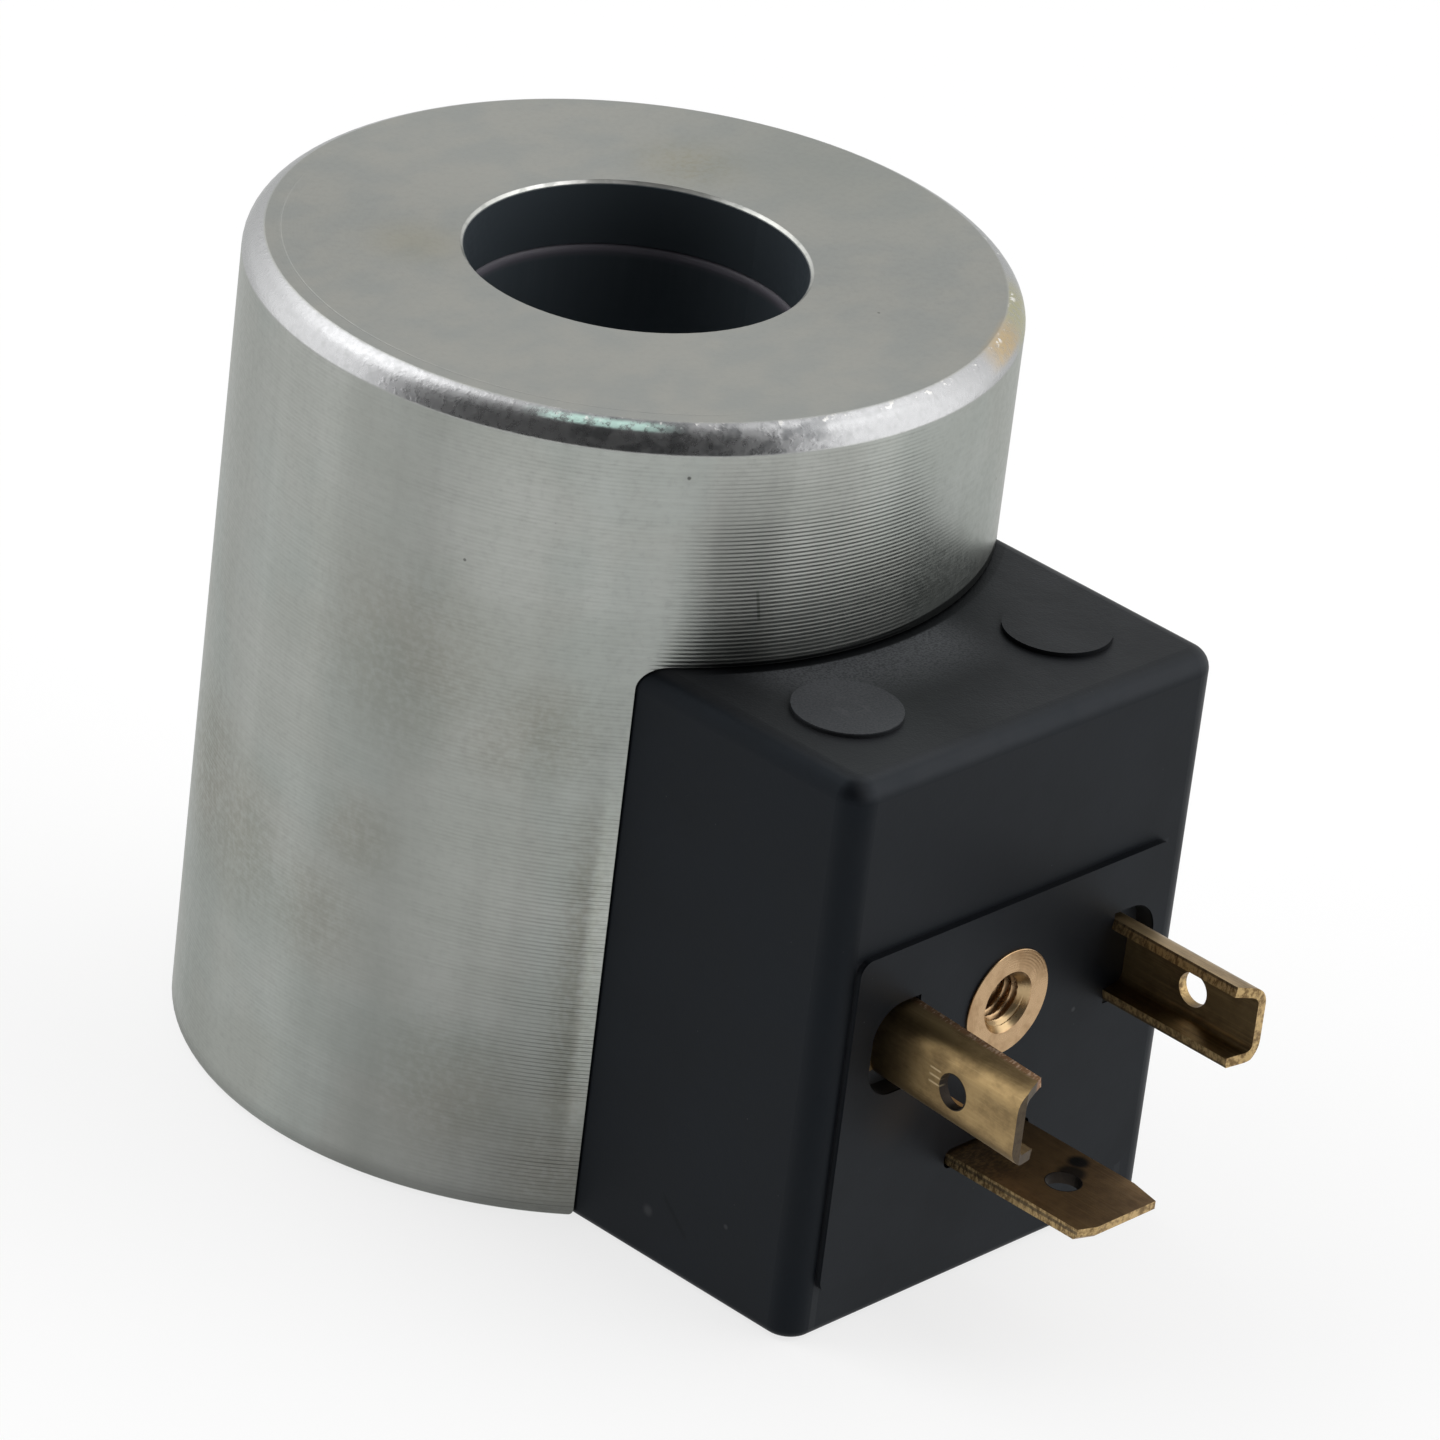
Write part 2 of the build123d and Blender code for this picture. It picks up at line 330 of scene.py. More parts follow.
@dataclass(frozen=True)
class TurnedZinc(Finish):
    """Zinc-plated steel, turned all round: lines on the side, a faced top, a burnished rim and a stained edge, with
    painted light, shade, highlights and reflections.
    """

    name: str = "turned_zinc"
    plain: Colour = (0.355, 0.365, 0.345)
    cloudy: Colour = (0.315, 0.328, 0.305)
    streaked_and_shaded: Colour = (0.26, 0.27, 0.25)
    top: Colour = (0.325, 0.325, 0.302)
    top_cool: Colour = (0.296, 0.304, 0.290)
    rim: Colour = (0.385, 0.387, 0.392)
    rim_blotch_and_dark_reflection: Colour = (0.115, 0.120, 0.125)
    bore_wall_shade: Colour = (0.044, 0.054, 0.063)
    wear_and_highlight: Colour = (0.86, 0.85, 0.82)
    cool: Colour = (0.96, 1.0, 1.01)
    brown: Colour = (0.76, 0.73, 0.67)
    edge_tint: Colour = (0.80, 0.81, 0.80)
    pit: Colour = (0.085, 0.085, 0.080)
    stain: Colour = (0.47, 0.36, 0.21)
    stain_edge: Colour = (0.40, 0.38, 0.19)
    yellow: Colour = (0.90, 0.84, 0.66)
    green_tint_and_highlight: Colour = (0.56, 0.80, 0.72)
    mottled: Colour = (0.25, 0.26, 0.245)
    contact_shade: Colour = (0.006, 0.007, 0.009)
    line_pitch: float = 0.227
    line_slope: float = 0.11
    line_waver: float = 0.35
    face_pitch: float = 0.21
    face_slope: float = 0.018
    relief: float = 0.0035
    seam: float = 0.1
    rim_low: float = 44.45
    rim_foot: float = 0.9
    rim_break: float = 0.30
    rim_radius: float = 19.28
    top_height: Run = (45.7, 45.78)
    side_radius: float = 20.2
    bore_radius: float = 9.05
    chamfer: float = 0.13
    block_top: float = 32.4
    front: Run = (1.0, -1.0)
    stained: Spot = Spot((9.4, -17.4, 45.2), 3.4, 0.6)
    stain_fringe: Spot = Spot((13.0, -15.0, 45.2), 4.4, 1.0, 0.7)
    green_mark: Spot = Spot((-15.0, -12.6, 45.7), 4.4, 1.6)
    green_height: Span = Span(45.42, 45.70, 0.07)
    blotch_and_dark_reflection_area: Spot = Spot((-11.5, -16.2, 45.0), 8.4, 5.2, 0.6)
    shaded: Spot = Spot((17.5, 3.0, 45.8), 13.0, 0.0, 0.65)
    halo: Spot = Spot((10.4, 6.6, 45.8), 4.4, 0.0, 0.6)
    yellowed: Spot = Spot((-8.8, 7.4, 45.8), 3.8, 0.0, 0.4)
    nicked: Spot = Spot((-12.19, -16.30, 43.2), 0.14, 0.05, 0.9)
    scratch_lean: float = 0.143
    scratch_width: Span = Span(-3.31, -3.17, 0.03)
    scratch_height: Span = Span(35.1, 36.75, 0.2)
    groove: Span = Span(18.42, 18.5, 0.03)
    bright_band: Span = Span(-0.6, 6.0, 1.3)
    dark_band: Span = Span(-7.4, -3.0, 1.6)
    strip: Span = Span(-14.0, -12.9, 0.25)
    shadow: Span = Span(-11.2, -7.8, 1.0)
    near_block: Span = Span(-10.5, 2.0, 1.5)
    lifted: Span = Span(-3.4, -0.8, 1.0)
    border: Span = Span(-14.9, -13.6, 0.7)
    border_height: Span = Span(4.0, 23.0, 5.0)
    dirt: tuple[Spot, ...] = (
        Spot((-17.9, 9.7, 17.0), 7.5, 0.75, 0.8), Spot((-19.6, 5.5, 15.5), 6.5, 0.65, 0.7),
        Spot((-20.3, -1.0, 14.0), 5.0, 0.5, 0.5), Spot((-19.7, -5.2, 30.5), 8.0, 0.8, 0.55),
        Spot((-16.3, -12.2, 28.0), 4.5, 0.45, 0.6), Spot((-17.5, -10.4, 27.0), 3.5, 0.35, 0.45),
        Spot((-18.0, -9.5, 6.5), 6.0, 0.6, 0.55), Spot((-20.0, -3.5, 19.5), 3.5, 0.35, 0.5),
        Spot((-14.3, -14.5, 3.0), 5.0, 0.5, 0.6),
    )

    def painted_light_and_patches(self, g: Graph, side: Value, base: Value, mottle: Value) -> Value:
        """Adds painted bands of light and shade, painted shade towards the foot and painted light towards the top at
        the front, and the brown patches of the side.

        Args:
            g: The tree.
            side: Mask of the side.
            base: The clean colour.
            mottle: Fine noise.

        Returns:
            The colour socket.
        """
        # Painted shade and light: the front of the side darkens towards the foot and lightens towards the top.
        by_front = g.times(side, g.ramp(g.y, 1.0, -13.0))
        by_height = g.plus(g.ramp(g.z, 0.0, 22.0, 0.62, 1.02), g.ramp(g.z, 24.0, 44.0, 0.0, 0.12))
        level = g.math("MULTIPLY_ADD", by_front, g.math("SUBTRACT", by_height, 1.0), 1.0)
        left = g.times(side, g.ramp(g.x, 0.0, -10.0))
        ahead = g.times(side, g.ramp(g.y, *self.front))
        low = g.times(g.ramp(g.y, -10.0, -12.0), g.ramp(g.z, 30.0, 16.0), g.ramp(g.z, 1.0, 9.0))
        # Painted light and shade: a lighter and a darker soft band on the left, a lighter strip by the block's left
        # face, painted shadows by and above the block, a lighter patch and painted shade along the foot.
        bands = g.plus(
            g.times(left, g.band(g.y, self.bright_band), 0.09),
            g.times(left, g.band(g.y, self.dark_band), -0.09),
            g.times(left, g.band(g.x, self.strip), low, 0.5),
            g.times(ahead, g.band(g.x, self.shadow), g.ramp(g.z, 46.0, 38.0), -0.30),
            g.times(ahead, g.band(g.x, self.near_block), g.ramp(g.z, 36.0, 33.0), -0.28),
            g.times(ahead, g.band(g.x, self.lifted), g.ramp(g.z, 36.0, 40.0), 0.16),
            g.times(side, g.ramp(g.z, 1.5, 0.2), -0.3),
        )
        base = g.vector("SCALE", base, scale=g.math("MULTIPLY", level, g.plus(1.0, bands)))
        cool = g.times(g.noise((0.11, 0.11, 0.10), 2.0, 0.55, 41.0), side)
        base = g.colour(g.ramp(cool, 0.47, 0.62, 0.0, 0.5), base, self.cool, Blend.MULTIPLY)
        border = g.times(g.band(g.x, self.border), g.band(g.z, self.border_height), g.ramp(g.y, -5.0, -10.0), 0.75)
        patches = g.most(*(g.spot(mark) for mark in self.dirt), border)
        patches = g.times(patches, g.ramp(mottle, 0.28, 0.62, 0.45, 1.0), side)
        return g.colour(patches, base, self.brown, Blend.MULTIPLY)

    def stains(self, g: Graph, rim: Value, base: Value, mottle: Value, smudges: Value) -> Value:
        """Adds the yellow halos of the top, and the dark blotches with painted dark reflection and the orange stain of
        the rim.

        Args:
            g: The tree.
            rim: Mask of the rim.
            base: The colour so far.
            mottle: Fine noise.
            smudges: Coarser noise.

        Returns:
            The colour socket.
        """
        halo = g.times(g.spot(self.halo), g.ramp(mottle, 0.3, 0.7, 0.4, 1.0))
        base = g.colour(halo, base, self.yellow, Blend.MULTIPLY)
        base = g.colour(g.spot(self.yellowed), base, self.yellow, Blend.MULTIPLY)
        # Dark blotches on the rim, with painted dark reflection that darkens the lower part of the rim.
        rim_blotch_and_dark_reflection = g.most(g.times(g.ramp(g.z, 45.35, 45.05), 0.3), g.ramp(smudges, 0.42, 0.60))
        base = g.colour(g.times(rim, g.spot(self.blotch_and_dark_reflection_area), rim_blotch_and_dark_reflection), base, self.rim_blotch_and_dark_reflection)
        fringe = g.times(g.spot(self.stain_fringe), rim, g.ramp(mottle, 0.25, 0.6, 0.5, 1.0))
        base = g.colour(fringe, base, self.stain_edge)
        stain = g.times(g.spot(self.stained), g.ramp(g.radius, 18.9, 19.5), g.ramp(g.z, 44.7, 45.2))
        return g.colour(g.times(stain, g.ramp(mottle, 0.25, 0.6, 0.55, 0.95)), base, self.stain)

    def marks(self, g: Graph, side: Value, base: Value, smudges: Value) -> Value:
        """Adds pits, the scratch, painted shade above the connector block, a painted highlight on the edge of the bore
        and painted shade on the bore wall.

        Args:
            g: The tree.
            side: Mask of the side.
            base: The colour so far.
            smudges: Noise that breaks up the bright edge.

        Returns:
            The colour socket.
        """
        ahead = g.ramp(g.y, *self.front)
        scratch = g.band(g.math("MULTIPLY_ADD", g.z, self.scratch_lean, g.x), self.scratch_width)
        scratch = g.times(scratch, g.band(g.z, self.scratch_height), side, ahead, 0.6)
        pits = g.most(g.times(g.specks(0.2, 0.022, 2.0), 0.75), scratch, g.spot(self.nicked))
        base = g.colour(pits, base, self.pit)
        # Painted shade on the can just above the connector block's top.
        height = g.math("SUBTRACT", g.z, g.ramp(g.x, -6.0, 6.0, 0.0, 0.25))
        seam = g.times(
            g.ramp(height, self.block_top + 0.42, self.block_top + 0.3),
            g.ramp(g.z, self.block_top - 0.5, self.block_top - 0.2),
            g.ramp(g.x, -12.4, -9.0), g.ramp(g.x, 13.3, 12.9), side, ahead, 0.86,
        )
        base = g.colour(seam, base, self.contact_shade)
        # Painted highlight on the bore's chamfer, strongest towards the left.
        edge = g.band(g.radius, Span(self.bore_radius, self.bore_radius + self.chamfer, 0.02))
        across = g.math("MULTIPLY_ADD", g.x, 0.66, g.times(g.y, -0.75))
        shiny = g.math("MULTIPLY_ADD", g.band(across, Span(-6.5, -1.5, 1.5)), 0.6, 0.3)
        base = g.colour(g.times(edge, g.ramp(smudges, 0.38, 0.52, 0.25, 0.9), shiny), base, self.wear_and_highlight)
        # Painted shade: the bore wall is dark, standing in for its dark reflection.
        return g.colour(g.ramp(g.radius, self.bore_radius, self.bore_radius - 0.03), base, self.bore_wall_shade)

    def shade(self, g: Graph) -> None:
        """Builds the node tree.

        Args:
            g: The tree.
        """
        above = g.ramp(g.z, self.rim_low - self.seam, self.rim_low + self.seam)
        side = g.times(g.ramp(g.radius, self.side_radius - self.seam, self.side_radius), g.without(above))
        rim = g.times(above, g.ramp(g.radius, self.rim_radius - 0.05, self.rim_radius + 0.12))
        top = g.times(g.ramp(g.z, *self.top_height), g.without(rim))
        streaks = g.noise((0.12, 0.12, 5.0), 2.0, 0.65, 3.0)
        mottle = g.noise(2.6, 2.0, 0.6, 5.0)
        clouds = g.noise((0.09, 0.09, 0.12), 2.0, 0.6)
        smudges = g.noise((0.8, 0.8, 1.3), 2.0, 0.6, 17.0)
        chips = g.noise((1.6, 1.6, 2.4), 2.0, 0.7, 21.0)
        around = g.joined(g.times(g.radius, 6.0), g.times(g.x, 0.12), g.times(g.y, 0.12))
        rings = g.noise(1.0, 1.0, 0.6, 8.0, around)

        wave = g.math("MULTIPLY_ADD", g.z, 2 * math.pi / self.line_pitch, g.times(streaks, self.line_waver))
        patches = g.ramp(g.noise((0.05, 0.05, 0.6), 2.0, 0.5, 11.0), 0.3, 0.7, 0.7, 1.15)
        wear_and_highlight = g.without(g.times(g.ramp(g.x, -0.5, 3.0), g.ramp(g.y, -8.0, -12.0), 0.85))
        by_block = g.times(g.ramp(g.x, -20.2, -14.0), g.ramp(g.z, 34.0, 18.0), g.ramp(g.y, 0.0, -5.0), 1.7)
        by_block = g.plus(1.0, by_block, g.times(g.ramp(g.y, -15.0, -17.5), g.ramp(g.z, 44.0, 38.0), 0.6))
        turning = g.times(g.math("SINE", wave), side, patches, wear_and_highlight, by_block, self.line_slope)
        facing = g.times(g.math("SINE", g.times(g.radius, 2 * math.pi / self.face_pitch)), top, self.face_slope)
        broken = g.times(rim, g.ramp(g.z, self.rim_low + self.rim_foot, self.rim_low), self.rim_break)
        # Green tint on the rim's upper edge; its colour is also brightened as a painted highlight.
        green_tint_and_highlight = g.times(g.spot(self.green_mark), rim, g.band(g.z, self.green_height))
        green_tint_and_highlight = g.times(green_tint_and_highlight, g.ramp(mottle, 0.35, 0.55, 0.35, 1.0))
        # Painted highlight: glints along the rim's top edge.
        glints = g.times(rim, g.ramp(g.z, 45.55, 45.7), g.ramp(chips, 0.60, 0.68), g.ramp(g.y, -6.0, -10.0))
        upward = g.plus(turning, broken, g.times(green_tint_and_highlight, 0.45), g.times(glints, 0.6))
        outward = g.vector("NORMALIZE", g.joined(g.x, g.y, 0.0))
        slope = g.vector("ADD", g.joined(0.0, 0.0, upward), g.vector("SCALE", outward, scale=facing))
        groove = g.times(top, g.band(g.radius, self.groove), g.ramp(g.x, -6.0, -12.0))
        height = g.plus(
            g.times(g.noise(9.0, 1.0, 0.6), 0.5), g.times(streaks, side, 0.5), g.times(rings, top, 0.6),
            g.times(rim, g.ramp(chips, 0.45, 0.75), 1.8), g.times(groove, -4.0),
        )

        upright = g.noise((0.42, 0.42, 0.012), 2.0, 0.6, 31.0)
        base = g.colour(g.ramp(clouds, 0.35, 0.68), self.plain, self.cloudy)
        base = g.colour(g.times(side, g.ramp(streaks, 0.3, 0.75, 0.0, 0.22)), base, self.streaked_and_shaded)
        base = g.colour(g.times(side, g.ramp(upright, 0.38, 0.64, 0.0, 0.22)), base, self.streaked_and_shaded)
        base = self.painted_light_and_patches(g, side, base, mottle)
        blotch = g.ramp(g.noise((0.22, 0.30, 0.2), 2.0, 0.6, 53.0), 0.36, 0.66)
        base = g.colour(top, base, g.colour(blotch, self.top, self.top_cool))
        # Painted shade on the right part of the top face, in the streaks' colour.
        base = g.colour(g.times(top, g.spot(self.shaded), g.ramp(clouds, 0.3, 0.6, 0.7, 1.0)), base, self.streaked_and_shaded)
        base = g.colour(rim, base, self.rim)
        base = g.colour(g.ramp(mottle, 0.52, 0.78, 0.0, 0.16), base, self.mottled)
        base = self.stains(g, rim, base, mottle, smudges)
        # Green tint and painted highlight on the rim.
        base = g.colour(g.times(green_tint_and_highlight, 0.85), base, self.green_tint_and_highlight)
        # Painted highlight of the glints, in the wear colour.
        base = g.colour(g.times(glints, 0.8), base, self.wear_and_highlight)
        rough = g.math("MULTIPLY_ADD", side, 0.02, g.math("MULTIPLY_ADD", rim, -0.08, 0.36))
        g.set(
            Base_Color=self.marks(g, side, base, smudges),
            # Not metallic on the bore wall, so that its painted shade shows.
            Metallic=g.ramp(g.radius, self.bore_radius - 0.03, self.bore_radius),
            Roughness=g.plus(rough, g.ramp(mottle, 0.3, 0.7, -0.03, 0.05)),
            Specular_Tint=self.edge_tint,
            Anisotropic=0.35,
            Tangent=g.added("Tangent", direction_type="RADIAL", axis="Z").outputs[0],
            Normal=g.bump(height, self.relief, g.tilted(slope)),
        )


@dataclass(frozen=True)
class PressedZinc(Finish):
    """Zinc-plated steel sheet, pressed and flat."""

    name: str = "pressed_zinc"
    plain: Colour = (0.34, 0.35, 0.33)
    dull: Colour = (0.285, 0.295, 0.278)
    speck: Colour = (0.09, 0.09, 0.085)

    def shade(self, g: Graph) -> None:
        """Builds the node tree.

        Args:
            g: The tree.
        """
        clouds = g.noise(0.35, 5.0, 0.65)
        rolled = g.noise((0.4, 6.0, 0.4), 3.0, 0.6, 4.0)
        base = g.colour(g.ramp(clouds, 0.38, 0.66), self.plain, self.dull)
        base = g.colour(g.times(g.specks(0.6, 0.1, 6.0), 0.5), base, self.speck)
        g.set(
            Base_Color=base,
            Metallic=1.0,
            Roughness=g.ramp(clouds, 0.3, 0.7, 0.36, 0.5),
            Normal=g.bump(g.math("ADD", rolled, clouds), 0.006),
        )


@dataclass(frozen=True)
class BlackMoulding(Finish):
    """Black glass-filled moulding: finely grained, with scuffs, edges rubbed and lit by painted highlights, a smudge on
    the left disc, and painted light, shade and a blade's reflection.
    """

    name: str = "black_moulding"
    plain: Colour = (0.0040, 0.0047, 0.0064)
    lighter: Colour = (0.0062, 0.0067, 0.0080)
    top_painted_light: Colour = (0.0105, 0.0108, 0.0112)
    rubbed_and_highlight: Colour = (0.092, 0.095, 0.102)
    dust: Colour = (0.120, 0.120, 0.125)
    dark: Colour = (0.0015, 0.0016, 0.0018)
    groove: Colour = (0.016, 0.017, 0.019)
    pocket_fill_light: Colour = (0.030, 0.033, 0.038)
    pocket_low_fill_light: Colour = (0.075, 0.078, 0.085)
    blade_reflection: Colour = (0.017, 0.0125, 0.0085)
    sheen: Colour = (0.70, 0.85, 1.0)
    shine: float = 0.14
    grain: float = 0.006
    block_top: float = 32.4
    block_side: Run = (-12.4, -9.0)
    can_seat: Run = (20.95, 20.8)
    panel_depth: Run = (-31.19, -31.1)
    near_can: Span = Span(-8.5, 3.5, 2.0)
    edge_height: Span = Span(31.5, 32.3, 0.3)
    pocket_side: Span = Span(6.5, 11.2, 0.1)
    pocket_height: Span = Span(13.0, 20.0, 0.1)
    groove_side: Span = Span(11.25, 11.7, 0.03)
    smudge_at: Point = (-7.6, -24.64, 32.65)
    blade_reflection_spot: Spot = Spot((-7.6, -31.25, 12.4), 3.0, 0.5, 0.5)
    marks: tuple[Spot, ...] = (
        Spot((-13.2, -20.4, 3.0), 0.45, 0.1, 0.22), Spot((-13.2, -25.8, 4.7), 0.2, 0.05, 0.2),
        Spot((5.5, -31.25, 14.0), 0.2, 0.05, 0.3),
    )
    stroke_slope: float = -0.9
    stroke_width: Span = Span(23.4, 23.75, 0.15)
    stroke_length: Span = Span(-23.2, -21.4, 0.2)

    def shade(self, g: Graph) -> None:
        """Builds the node tree.

        Args:
            g: The tree.
        """
        top = g.ramp(g.z, self.block_top - 0.25, self.block_top - 0.05)
        clouds = g.noise(0.16, 3.0, 0.6)
        grain = g.noise(7.5, 2.0, 0.6, 2.0)
        coarse = g.noise(2.2, 1.0, 0.5, 9.0)
        flow = g.noise((1.2, 0.25, 0.25), 2.0, 0.6, 7.0)
        base = g.colour(g.ramp(clouds, 0.36, 0.66), self.plain, self.lighter)
        # Painted light: the top face is lighter than the sides.
        base = g.colour(g.times(top, g.ramp(clouds, 0.3, 0.6, 0.45, 0.75)), base, self.top_painted_light)
        base = g.colour(g.times(top, g.ramp(g.x, -3.0, -8.0), 0.11), base, self.rubbed_and_highlight)
        # Painted highlight on the top near the can, broken up by the grain.
        near_can = g.times(top, g.band(g.x, self.near_can), g.ramp(g.radius, 26.0, 21.5))
        base = g.colour(g.times(near_can, g.ramp(grain, 0.35, 0.6, 0.4, 1.0), 0.9), base, self.rubbed_and_highlight)
        # Painted highlight along the top front edge.
        edge = g.times(g.band(g.z, self.edge_height), g.ramp(g.y, -29.6, -30.2), g.ramp(g.x, -12.9, -12.2))
        edge = g.times(edge, g.ramp(clouds, 0.3, 0.6, 0.6, 1.0))
        base = g.colour(g.times(edge, 0.24), base, self.rubbed_and_highlight)
        disc = g.times(g.ramp(g.z, self.block_top + 0.15, self.block_top + 0.22), g.ramp(g.x, 0.5, -0.5))
        base = g.colour(g.times(disc, g.ramp(grain, 0.3, 0.65, 0.3, 0.5)), base, self.rubbed_and_highlight)
        away = g.vector("DISTANCE", g.point, self.smudge_at)
        swirl = g.math("SINE", g.math("MULTIPLY_ADD", away, 5.2, g.times(flow, 9.0)))
        swirl = g.times(g.ramp(swirl, 0.1, 0.9), g.ramp(away, 1.9, 0.5), g.ramp(coarse, 0.4, 0.6), disc)
        base = g.colour(g.times(swirl, 0.16), base, self.dust)
        dust = g.times(g.specks(0.9, 0.045, 3.0), g.ramp(clouds, 0.42, 0.6), 0.22)
        base = g.colour(g.most(dust, *(g.spot(mark) for mark in self.marks)), base, self.dust)
        stroke = g.band(g.math("MULTIPLY_ADD", g.y, self.stroke_slope, g.z), self.stroke_width)
        stroke = g.times(stroke, g.band(g.y, self.stroke_length), g.ramp(g.x, -12.9, -13.1))
        base = g.colour(g.times(stroke, 0.8), base, self.dark)
        sunk, aside = g.ramp(g.y, *self.panel_depth), g.math("ABSOLUTE", g.x)
        # Painted fill light in the pockets round the blades, lighter still in their lower part.
        pocket_fill_light = g.times(sunk, g.ramp(g.y, -29.0, -29.4), g.band(aside, self.pocket_side))
        pocket_fill_light = g.times(pocket_fill_light, g.band(g.z, self.pocket_height))
        base = g.colour(pocket_fill_light, base, g.colour(g.ramp(g.z, 16.4, 15.6), self.pocket_fill_light, self.pocket_low_fill_light))
        # Painted light on the side wall of the panel's step, which is otherwise black in shade.
        groove = g.times(sunk, g.ramp(g.y, -30.0, -30.6), g.band(aside, self.groove_side), g.ramp(g.z, 22.1, 22.0))
        base = g.colour(g.times(groove, 0.7), base, self.groove)
        # Painted reflection: a brown reflection of the left blade on the panel below it.
        base = g.colour(g.times(g.spot(self.blade_reflection_spot), g.ramp(g.z, 14.6, 13.8)), base, self.blade_reflection)
        # Painted shade where the block's top meets the can.
        contact_shade = g.times(top, g.ramp(g.radius, *self.can_seat), g.ramp(g.x, *self.block_side))
        base = g.colour(contact_shade, base, self.dark)
        height = g.times(g.math("MULTIPLY_ADD", coarse, 0.8, grain), g.math("MULTIPLY_ADD", top, 1.1, 0.6))
        g.set(
            Base_Color=base,
            Metallic=0.0,
            Roughness=g.plus(g.times(g.most(disc, edge), 0.06), g.ramp(clouds, 0.3, 0.7, 0.42, 0.52)),
            Specular_IOR_Level=self.shine,
            Specular_Tint=self.sheen,
            Normal=g.bump(height, self.grain),
        )


@dataclass(frozen=True)
class BobbinPlastic(Finish):
    """Smooth black plastic of the bobbin, with drawn marks along the bore, painted light deeper down and a painted
    highlight at the mouth.
    """

    name: str = "bobbin_plastic"
    plain: Colour = (0.055, 0.067, 0.078)
    deep_fill_light: Colour = (0.10, 0.122, 0.14)
    marked: Colour = (0.080, 0.092, 0.105)
    mouth: Colour = (0.115, 0.108, 0.128)
    shine: float = 0.25

    def shade(self, g: Graph) -> None:
        """Builds the node tree.

        Args:
            g: The tree.
        """
        drawn = g.noise((3.0, 3.0, 0.15), 3.0, 0.6)
        # Painted light: lighter deeper down the bore, against its shade.
        base = g.colour(g.ramp(g.z, 42.0, 33.0), self.plain, self.deep_fill_light)
        base = g.colour(g.ramp(drawn, 0.4, 0.75, 0.0, 0.25), base, self.marked)
        # Painted highlight on the rounded mouth of the bore.
        mouth = g.times(g.ramp(g.z, 41.4, 41.9), g.ramp(g.radius, 9.6, 9.3))
        base = g.colour(mouth, base, self.mouth)
        g.set(
            Base_Color=base,
            Metallic=0.0,
            Roughness=g.ramp(drawn, 0.3, 0.7, 0.42, 0.54),
            Specular_IOR_Level=self.shine,
            Normal=g.bump(drawn, 0.004),
        )


@dataclass(frozen=True)
class WoundCopper(Finish):
    """Enamelled copper wire, laid turn by turn, with painted shade between the turns."""

    name: str = "wound_copper"
    copper: Colour = (0.62, 0.23, 0.09)
    gap_shade: Colour = (0.20, 0.06, 0.02)
    aged: Colour = (0.38, 0.13, 0.05)
    wire: float = 0.28

    def shade(self, g: Graph) -> None:
        """Builds the node tree.

        Args:
            g: The tree.
        """
        turn = g.math("ABSOLUTE", g.math("SINE", g.times(g.z, math.pi / self.wire)))
        patina = g.noise(0.5, 3.0, 0.6)
        # Painted shade between the turns.
        base = g.colour(g.ramp(turn, 0.0, 0.5), self.gap_shade, self.copper)
        base = g.colour(g.ramp(patina, 0.4, 0.7, 0.0, 0.35), base, self.aged)
        g.set(Base_Color=base, Metallic=1.0, Roughness=g.ramp(patina, 0.3, 0.7, 0.22, 0.36), Normal=g.bump(turn, 0.08))


@dataclass(frozen=True)
class AmberTape(Finish):
    """Amber polyester tape wrapped round the winding, with the wire's pattern showing through."""

    name: str = "amber_tape"
    amber: Colour = (0.56, 0.34, 0.05)
    dark: Colour = (0.36, 0.19, 0.03)
    turn: float = 12.0

    def shade(self, g: Graph) -> None:
        """Builds the node tree.

        Args:
            g: The tree.
        """
        overlap = g.math("FRACT", g.times(g.z, 1 / self.turn))
        shade = g.noise((0.4, 0.4, 1.2), 3.0, 0.6)
        base = g.colour(g.ramp(shade, 0.35, 0.7), self.amber, self.dark)
        wrinkle = g.math("ADD", g.ramp(overlap, 0.0, 0.02), g.times(shade, 0.5))
        g.set(Base_Color=base, Metallic=0.0, Roughness=0.28, Coat_Weight=0.3, Normal=g.bump(wrinkle, 0.03))


